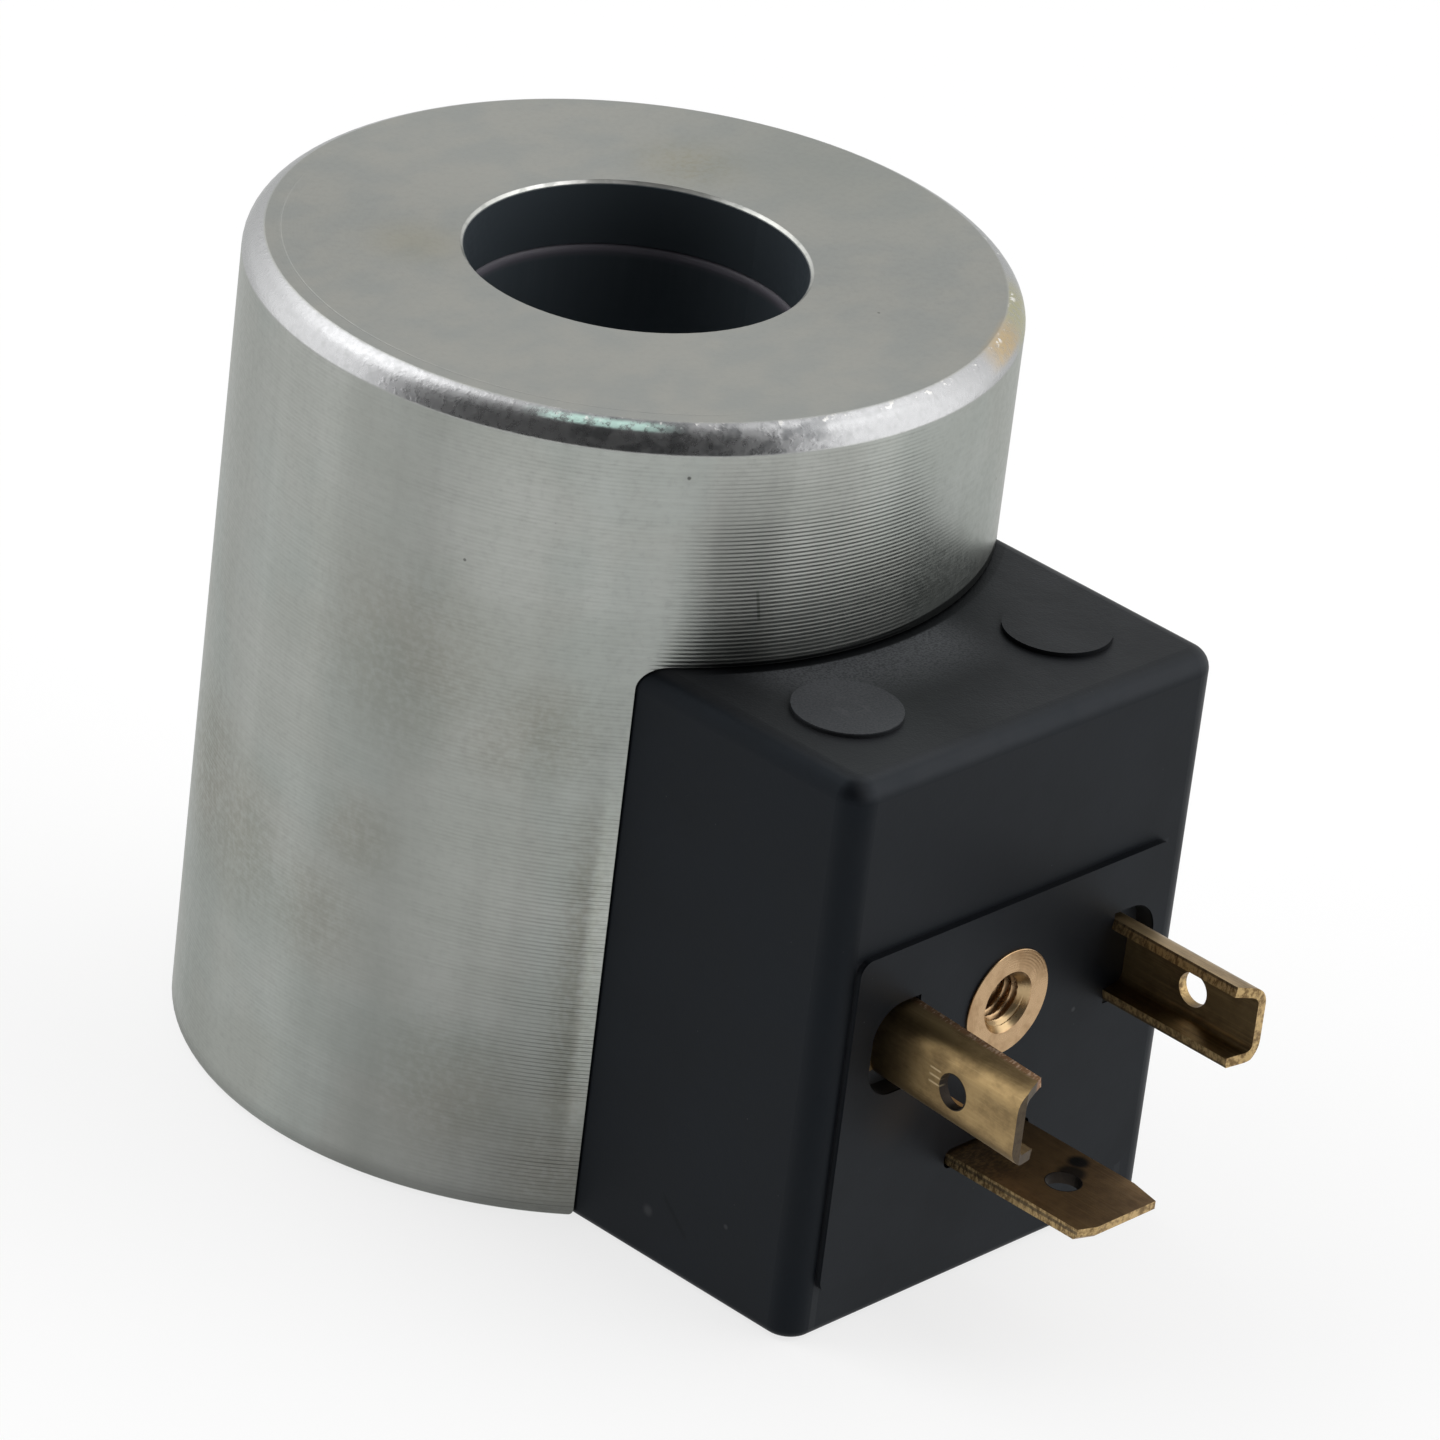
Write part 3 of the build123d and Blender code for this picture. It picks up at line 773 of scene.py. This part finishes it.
@dataclass(frozen=True)
class DrawnBrass(Finish):
    """Aged brass strip: drawn along the blade, browned, with brighter rough sheared edges, painted shade inside the
    right blade's channel and a painted dark reflection on the earth blade.
    """

    name: str = "drawn_brass"
    plain: Colour = (0.35, 0.245, 0.115)
    browned: Colour = (0.17, 0.115, 0.055)
    bright: Colour = (0.46, 0.34, 0.17)
    sheared: Colour = (0.54, 0.39, 0.19)
    torn: Colour = (0.20, 0.13, 0.06)
    tarnish_and_shade: Colour = (0.080, 0.062, 0.045)
    black: Colour = (0.014, 0.012, 0.011)
    burnt: Colour = (0.30, 0.16, 0.085)
    crumbs: Colour = (0.66, 0.48, 0.34)
    wear_and_highlight: Colour = (0.70, 0.56, 0.34)
    earth_dark_reflection: Colour = (0.70, 0.60, 0.55)
    root: float = 31.0
    web: float = 8.0
    power_height: float = 16.25
    power_hole: float = -36.0
    earth_hole: float = -36.65
    hole_edge: Run = (1.02, 0.97)
    left: Run = (-5.0, -6.0)
    lean: float = 0.07
    relief: float = 0.012
    stains: tuple[Spot, ...] = (Spot((2.1, -35.75, 8.2), 0.8, 0.35), Spot((1.0, -36.3, 8.2), 1.0, 0.5, 0.9))
    film: Spot = Spot((-1.5, -32.6, 8.2), 3.4, 0.8, 0.6)
    earth_edge: Span = Span(7.86, 8.04, 0.03)
    inner_web: Span = Span(8.0, 9.2, 0.04)
    stroke_length: Span = Span(-35.0, -34.25, 0.1)
    stroke_height: Span = Span(15.85, 17.2, 0.1)
    stroke_pitch: float = 0.4

    def shade(self, g: Graph) -> None:
        """Builds the node tree.

        Args:
            g: The tree.
        """
        forward = g.math("MULTIPLY", g.y, -1.0)
        inside = g.ramp(g.math("ABSOLUTE", g.x), self.web + 0.05, self.web - 0.1)
        across, along, _ = g.faced
        edges = g.times(g.ramp(across, 0.6, 0.85), inside)
        ends = g.ramp(along, 0.6, 0.85)
        cut = g.most(edges, ends)
        face = g.without(cut)
        drawn = g.noise((9.0, 0.25, 9.0), 4.0, 0.6, 1.0)
        patina = g.noise((0.45, 0.3, 0.45), 5.0, 0.65, 4.0)
        sheared = g.noise((2.5, 5.0, 2.5), 4.0, 0.7, 6.0)
        base = g.colour(g.ramp(patina, 0.35, 0.68), self.plain, self.browned)
        base = g.colour(g.ramp(drawn, 0.45, 0.8, 0.0, 0.35), base, self.bright)
        base = g.colour(cut, base, g.colour(g.ramp(sheared, 0.4, 0.62), self.sheared, self.torn))
        # Painted dark reflection of the block on the earth blade's faces, with a brown tint.
        earth = g.ramp(g.z, 9.0, 8.8)
        base = g.colour(g.times(earth, face, 0.9), base, self.earth_dark_reflection, Blend.MULTIPLY)
        left_end = g.times(ends, g.ramp(g.x, -4.0, -6.0), g.ramp(forward, 39.5, 40.0))
        off_axis = g.math("ABSOLUTE", g.math("SUBTRACT", g.z, self.power_height))
        power_line = g.times(edges, g.ramp(off_axis, 2.2, 2.27), g.ramp(g.z, 12.0, 12.5))
        earth_line = g.times(edges, g.band(g.z, self.earth_edge))
        power_hole = g.axial((0.0, 1.0, 1.0), (0.0, self.power_hole, self.power_height))
        earth_hole = g.axial((1.0, 1.0, 0.0), (0.0, self.earth_hole, 0.0))
        holes = g.times(g.ramp(power_hole, *self.hole_edge), g.ramp(g.x, -6.0, -6.5))
        holes = g.most(holes, g.times(g.ramp(earth_hole, *self.hole_edge), earth))
        # Painted shade on the inner face of the right blade's web; the other dark marks darken the left end, the edge
        # lines, the holes and the part near the root.
        inner = g.times(g.band(g.x, self.inner_web), face, g.ramp(drawn, 0.35, 0.7, 0.30, 0.05))
        near_root = g.ramp(forward, self.root, self.root + 2.6, 0.30, 0.0)
        dark = g.most(g.times(left_end, 0.9), g.times(g.most(power_line, earth_line), 0.7), holes, inner, near_root)
        base = g.colour(dark, base, self.tarnish_and_shade)
        stains = g.most(*(g.spot(mark) for mark in self.stains), g.times(g.spot(self.film), g.ramp(sheared, 0.35, 0.6)))
        base = g.colour(g.most(stains, g.times(holes, 0.85), g.times(left_end, 0.35)), base, self.black)
        burr = g.plus(g.x, g.times(g.math("SUBTRACT", forward, self.root), self.lean))
        burr = g.times(g.ramp(burr, -7.3, -7.05), g.ramp(g.z, 17.85, 18.05), g.ramp(g.x, *self.left), 0.8)
        base = g.colour(burr, base, g.colour(g.ramp(sheared, 0.5, 0.62), self.burnt, self.crumbs))
        strokes = g.times(g.band(g.y, self.stroke_length), g.band(g.z, self.stroke_height), g.ramp(g.x, -8.5, -8.8))
        lines = g.ramp(g.math("SINE", g.times(g.z, 2 * math.pi / self.stroke_pitch)), 0.55, 0.9)
        base = g.colour(g.times(strokes, lines, 0.7), base, self.wear_and_highlight)
        height = g.plus(g.times(drawn, 0.7), g.times(sheared, g.math("MULTIPLY_ADD", cut, 1.2, 0.35)))
        g.set(
            Base_Color=base,
            Metallic=1.0,
            Roughness=g.math("MULTIPLY_ADD", cut, 0.08, g.ramp(patina, 0.3, 0.7, 0.38, 0.48)),
            Normal=g.bump(height, self.relief),
        )


@dataclass(frozen=True)
class TurnedBrass(Finish):
    """Fresh turned brass of the bush, pinkish on its faced end."""

    name: str = "turned_brass"
    plain: Colour = (0.49, 0.33, 0.185)
    dark: Colour = (0.30, 0.18, 0.085)
    cone: Colour = (0.46, 0.33, 0.18)
    middle: Point = (0.0, 0.0, 16.25)
    ring_pitch: float = 0.16

    def shade(self, g: Graph) -> None:
        """Builds the node tree.

        Args:
            g: The tree.
        """
        across = g.axial((1.0, 0.0, 1.0), self.middle)
        rings = g.math("SINE", g.times(across, 2 * math.pi / self.ring_pitch))
        patina = g.noise(1.2, 4.0, 0.6)
        base = g.colour(g.ramp(patina, 0.4, 0.72, 0.0, 0.6), self.plain, self.dark)
        countersink = g.times(g.ramp(across, 1.74, 1.68), g.ramp(g.y, -30.7, -30.85))
        base = g.colour(countersink, base, self.cone)
        g.set(
            Base_Color=base,
            Metallic=1.0,
            Roughness=g.ramp(patina, 0.3, 0.7, 0.24, 0.36),
            Normal=g.bump(g.math("MULTIPLY_ADD", rings, 0.5, 0.5), 0.002),
        )


@dataclass(frozen=True)
class TinnedMetal(Finish):
    """Tin on wire or in a solder joint."""

    name: str = "tinned_metal"
    plain: Colour = (0.60, 0.60, 0.60)
    dull: Colour = (0.42, 0.42, 0.43)

    def shade(self, g: Graph) -> None:
        """Builds the node tree.

        Args:
            g: The tree.
        """
        patina = g.noise(1.6, 4.0, 0.6)
        base = g.colour(g.ramp(patina, 0.35, 0.7), self.plain, self.dull)
        g.set(Base_Color=base, Metallic=1.0, Roughness=g.ramp(patina, 0.3, 0.7, 0.2, 0.34), Normal=g.bump(patina, 0.02))


def mesh_piece(name: str, points: Sequence[Point], faces: Sequence[Sequence[int]], smooth: bool = True) -> Piece:
    """Makes a mesh object in the scene.

    Args:
        name: The object's name.
        points: Its points, in metres.
        faces: Its faces, as indices of points.
        smooth: Whether its faces are shaded smooth.

    Returns:
        The object.
    """
    mesh = bpy.data.meshes.new(name)
    mesh.from_pydata(points, [], faces)
    mesh.validate()
    mesh.polygons.foreach_set("use_smooth", [smooth] * len(mesh.polygons))
    mesh.update()
    piece = bpy.data.objects.new(name, mesh)
    bpy.context.scene.collection.objects.link(piece)
    return piece


@dataclass
class SteelShell:
    """The turned can and the flux plate that closes it from below."""

    nodes: dict[str, Piece]

    def build(self) -> None:
        """Dresses both pieces."""
        TurnedZinc().put_on(self.nodes["steel_can"])
        PressedZinc().put_on(self.nodes["flux_plate"])


@dataclass
class Winding:
    """Bobbin, winding, tape, lead wires and solder joints inside the can."""

    nodes: dict[str, Piece]

    def build(self) -> None:
        """Dresses the pieces inside the can."""
        BobbinPlastic().put_on(self.nodes["bobbin"])
        WoundCopper().put_on(self.nodes["copper_winding"])
        AmberTape().put_on(self.nodes["winding_tape"])
        tinned = ("lead_wire_left", "lead_wire_right", "solder_joint_left", "solder_joint_right")
        TinnedMetal().put_on(*(self.nodes[name] for name in tinned))


@dataclass
class Terminals:
    """The moulded body and the three blades that stand in it."""

    nodes: dict[str, Piece]

    def build(self) -> None:
        """Dresses the moulding and the blades."""
        BlackMoulding().put_on(self.nodes["moulded_body"])
        blades = ("power_terminal_left", "power_terminal_right", "earth_terminal")
        DrawnBrass().put_on(*(self.nodes[name] for name in blades))


@dataclass
class ThreadedBush:
    """The brass bush with its real thread, in place of the plain one. Lengths are in millimetres."""

    height: float = 16.25
    face: float = 31.37
    outline: tuple[Run, ...] = (
        (2.97, 0.0), (3.0, 0.03), (3.0, 1.2), (2.55, 1.2), (2.55, 2.0), (2.9, 2.0),
        (2.9, 5.1), (2.55, 5.1), (2.55, 5.9), (2.9, 5.9), (2.9, 9.0),
    )
    minor: float = 1.25
    major: float = 1.52
    pitch: float = 0.5
    flank: float = 0.42
    crest: float = 1.12
    mouth: float = 1.75
    mouth_depth: float = 0.6
    depth: float = 7.5
    cone: float = 0.6
    sectors: int = 96
    steps: int = 26
    sharp_angle: float = 35.0

    def radius(self, depth: float, turn: float) -> float:
        """Gives the hole's radius at a depth.

        Args:
            depth: Depth below the face.
            turn: Share of a full turn round the axis.

        Returns:
            The radius: the countersink's, the thread's or the core's, whichever is largest.
        """
        phase = (depth / self.pitch + turn) % 1.0
        flank = max(0.0, 1.0 - abs(phase - 0.5) / self.flank)
        run_out = min(1.0, max(0.0, (self.depth - depth) / self.pitch))
        thread = self.minor + (self.major - self.minor) * min(1.0, flank * self.crest) * run_out
        mouth = self.mouth - (self.mouth - self.minor) * depth / self.mouth_depth
        return max(thread, mouth)

    def point(self, radius: float, turn: float, depth: float) -> Point:
        """Gives a point of the bush.

        Args:
            radius: Distance from the bush's axis.
            turn: Share of a full turn round the axis.
            depth: Depth below the face.

        Returns:
            The point, in metres.
        """
        angle = 2 * math.pi * turn
        sideways, upward = radius * math.cos(angle), radius * math.sin(angle)
        return sideways * MILLIMETRE, (depth - self.face) * MILLIMETRE, (self.height + upward) * MILLIMETRE

    def rings(self) -> list[tuple[float, list[float]]]:
        """Gives every ring, from the thread's end out and round to the back.

        Returns:
            The depth and the radii of each ring.
        """
        n = self.sectors
        fine = round(self.depth / self.pitch * self.steps)
        depths = [self.depth * k / fine for k in range(fine, -1, -1)]
        hole = [(depth, [self.radius(depth, i / n) for i in range(n)]) for depth in depths]
        return hole + [(depth, [radius] * n) for radius, depth in self.outline]

    def build(self) -> None:
        """Makes the bush, dresses it and puts it in the plain one's place."""
        n, rings = self.sectors, self.rings()
        points = [self.point(radius, i / n, depth) for depth, radii in rings for i, radius in enumerate(radii)]
        after = [(i + 1) % n for i in range(n)]
        last = (len(rings) - 1) * n
        faces: list[tuple[int, ...]] = [
            (k + i, k + j, k + n + j, k + n + i) for k in range(0, last, n) for i, j in enumerate(after)
        ]
        tip, back = len(points), len(points) + 1
        points += [self.point(0.0, 0.0, self.depth + self.cone), self.point(0.0, 0.0, self.outline[-1][1])]
        for i, j in enumerate(after):
            faces += [(j, i, tip), (last + i, last + j, back)]
        piece = mesh_piece("bush_with_thread", points, faces)
        piece.data.set_sharp_from_angle(angle=math.radians(self.sharp_angle))
        TurnedBrass().put_on(piece)
        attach(piece, "root")
        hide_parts("threaded_bush")


@dataclass
class Studio:
    """Pale floor, soft lamps at both sides, a soft sky and the camera."""

    lens: float = 230.965
    azimuth: float = -48.656
    elevation: float = 27.571
    roll: float = 7.063
    distance: float = 0.540862
    target: Point = (0.039555, 0.025238, -0.004662)
    lamps: tuple[tuple[str, float, float], ...] = (("lamp_left", 128.0, 0.45), ("lamp_right", 305.0, 0.40))
    light_distance: float = 0.60
    light_width: float = 0.60
    light_height: float = 0.95
    light_gap: float = 0.005
    back_level: float = 0.97
    dark_level: float = 0.10
    bright_level: float = 1.65
    ceiling_level: float = 2.25
    left_low: float = -0.25
    left_high: float = 0.70
    horizon_soft: float = 0.06
    left_edge: Point = (0.867, 0.415, -0.277)
    right_edge: Point = (0.690, 0.650, -0.320)
    middle_half: Run = (0.17, 0.34)
    front_back: Run = (-0.60, 0.85)
    wall_start: Run = (0.58, 0.84)
    wall_height: Run = (0.78, 0.45)
    wall_turn: float = 0.12
    bright_height: Run = (0.45, 0.85)
    left_height: Run = (0.40, 0.80)
    floor_half: float = 3.0
    floor_drop: float = 0.00002
    floor_lift: float = 0.76
    floor_tone: float = 0.94

    def camera(self) -> None:
        """Makes the camera at the photograph's place."""
        a, e, r = (math.radians(v) for v in (self.azimuth, self.elevation, self.roll))
        back = Vector((math.sin(a) * math.cos(e), -math.cos(a) * math.cos(e), math.sin(e)))
        right = Vector((0, 0, 1)).cross(back).normalized()
        up = back.cross(right)
        tilted_right = right * math.cos(r) + up * math.sin(r)
        tilted_up = up * math.cos(r) - right * math.sin(r)
        data = bpy.data.cameras.new("camera")
        data.lens, data.sensor_width, data.sensor_fit = self.lens, 36.0, "HORIZONTAL"
        data.clip_start, data.clip_end = 0.01, 20.0
        camera = bpy.data.objects.new("camera", data)
        rows = Matrix((tilted_right, tilted_up, back)).transposed().to_4x4()
        camera.matrix_world = Matrix.Translation(Vector(self.target) + back * self.distance) @ rows
        bpy.context.scene.collection.objects.link(camera)
        bpy.context.scene.camera = camera

    def floor(self) -> None:
        """Makes the pale floor."""
        half = self.floor_half
        corners = [(-half, -half, 0.0), (half, -half, 0.0), (half, half, 0.0), (-half, half, 0.0)]
        floor = mesh_piece("floor", corners, [(0, 1, 2, 3)], smooth=False)
        floor.location.z = -self.floor_drop
        graph = Graph("pale_floor")
        tint = graph.noise(0.004, 2.0, 0.5)
        tones = [(tone, tone, tone) for tone in (self.floor_tone - 0.005, self.floor_tone + 0.005)]
        graph.set(Base_Color=graph.colour(tint, *tones), Roughness=0.9, Specular_IOR_Level=0.1)
        path = graph.added("LightPath").outputs
        seen = graph.most(path["Is Camera Ray"], path["Is Glossy Ray"], path["Is Transmission Ray"])
        white = graph.added("Emission").outputs[0]
        mixed = graph.added("MixShader", graph.times(seen, self.floor_lift), graph.shader.outputs[0], white)
        graph.put(graph.output.inputs["Surface"], mixed.outputs[0])
        graph.material.cycles.emission_sampling = "NONE"
        floor.data.materials.append(graph.material)

    def lamp(self, name: str, azimuth: float, radiance: float) -> None:
        """Makes one upright soft lamp that looks at the object.

        Args:
            name: The lamp's name.
            azimuth: Its direction seen from the object, in degrees from +X.
            radiance: How bright its face is, where 1 is white.
        """
        data = bpy.data.lights.new(name, "AREA")
        data.shape = "RECTANGLE"
        data.size, data.size_y = self.light_width, self.light_height
        data.energy = radiance * math.pi * self.light_width * self.light_height
        lamp = bpy.data.objects.new(name, data)
        a = math.radians(azimuth)
        outward = Vector((math.cos(a), math.sin(a), 0))
        lamp.location = outward * self.light_distance + Vector((0, 0, self.light_height / 2 + self.light_gap))
        lamp.rotation_mode = "QUATERNION"
        lamp.rotation_quaternion = outward.to_track_quat("Z", "Y")
        lamp.visible_camera = False
        bpy.context.scene.collection.objects.link(lamp)

    def sky(self) -> None:
        """Makes the soft light from all round: bright at both sides, softer behind, dark on the camera's side."""
        world = bpy.data.worlds.new("soft_sky")
        world.use_nodes = True
        bpy.context.scene.world = world
        nodes = Nodes(world.node_tree)
        ray = nodes.added("TexCoord").outputs["Generated"]
        a = math.radians(self.azimuth)
        behind = Vector((-math.sin(a), math.cos(a), 0.0))
        right = Vector((math.cos(a), math.sin(a), 0.0))
        up = Vector((0.0, 0.0, 1.0))

        def along(direction: Vector) -> Value:
            """Returns how far a ray goes along a direction."""
            return nodes.vector("DOT_PRODUCT", ray, tuple(direction))

        def side(edge: Point, outward: Vector) -> Value:
            """Gives the lit part of the sky on one side.

            Args:
                edge: How far the normal of the part's lower edge points behind, outward and up.
                outward: The direction to that side.

            Returns:
                The socket of the mask.
            """
            normal = behind * edge[0] + outward * edge[1] + up * edge[2]
            above = nodes.ramp(along(normal), -self.horizon_soft, self.horizon_soft)
            return nodes.times(above, nodes.ramp(along(outward), *self.middle_half))

        left_side, right_side = side(self.left_edge, -right), side(self.right_edge, right)
        wall = nodes.ramp(along(behind + right * self.wall_turn), *self.wall_start)
        wall = nodes.times(wall, nodes.ramp(along(up), *self.wall_height))
        bright = nodes.ramp(along(up), *self.bright_height, self.bright_level, self.ceiling_level)
        extra = nodes.ramp(along(up), *self.left_height, self.left_low, self.left_high)
        bright = nodes.plus(bright, nodes.times(left_side, extra))
        over = nodes.math("SUBTRACT", bright, self.back_level)
        bright = nodes.math("SUBTRACT", bright, nodes.times(wall, over))
        middle = nodes.ramp(along(behind), *self.front_back, self.dark_level, self.back_level)
        lit = nodes.times(nodes.most(left_side, right_side), nodes.math("SUBTRACT", bright, middle))
        background = nodes.added("Background", (1.0, 1.0, 1.0), nodes.plus(middle, lit))
        nodes.added("OutputWorld", background.outputs[0])

    def build(self) -> None:
        """Makes the floor, the lamps, the sky and the camera."""
        bpy.context.scene.view_settings.view_transform = "Standard"
        self.camera()
        self.floor()
        for lamp in self.lamps:
            self.lamp(*lamp)
        self.sky()


def main() -> None:
    """Loads the frame, builds and dresses every sub-assembly and builds the studio."""
    logging.basicConfig(level=logging.INFO, format="%(message)s")
    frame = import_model()
    nodes = frame["nodes"]
    for assembly in (SteelShell(nodes), Winding(nodes), Terminals(nodes), ThreadedBush()):
        assembly.build()
        log.info("built %s", type(assembly).__name__)
    Studio().build()
    bpy.context.view_layer.update()


if __name__ == "__main__":
    main()
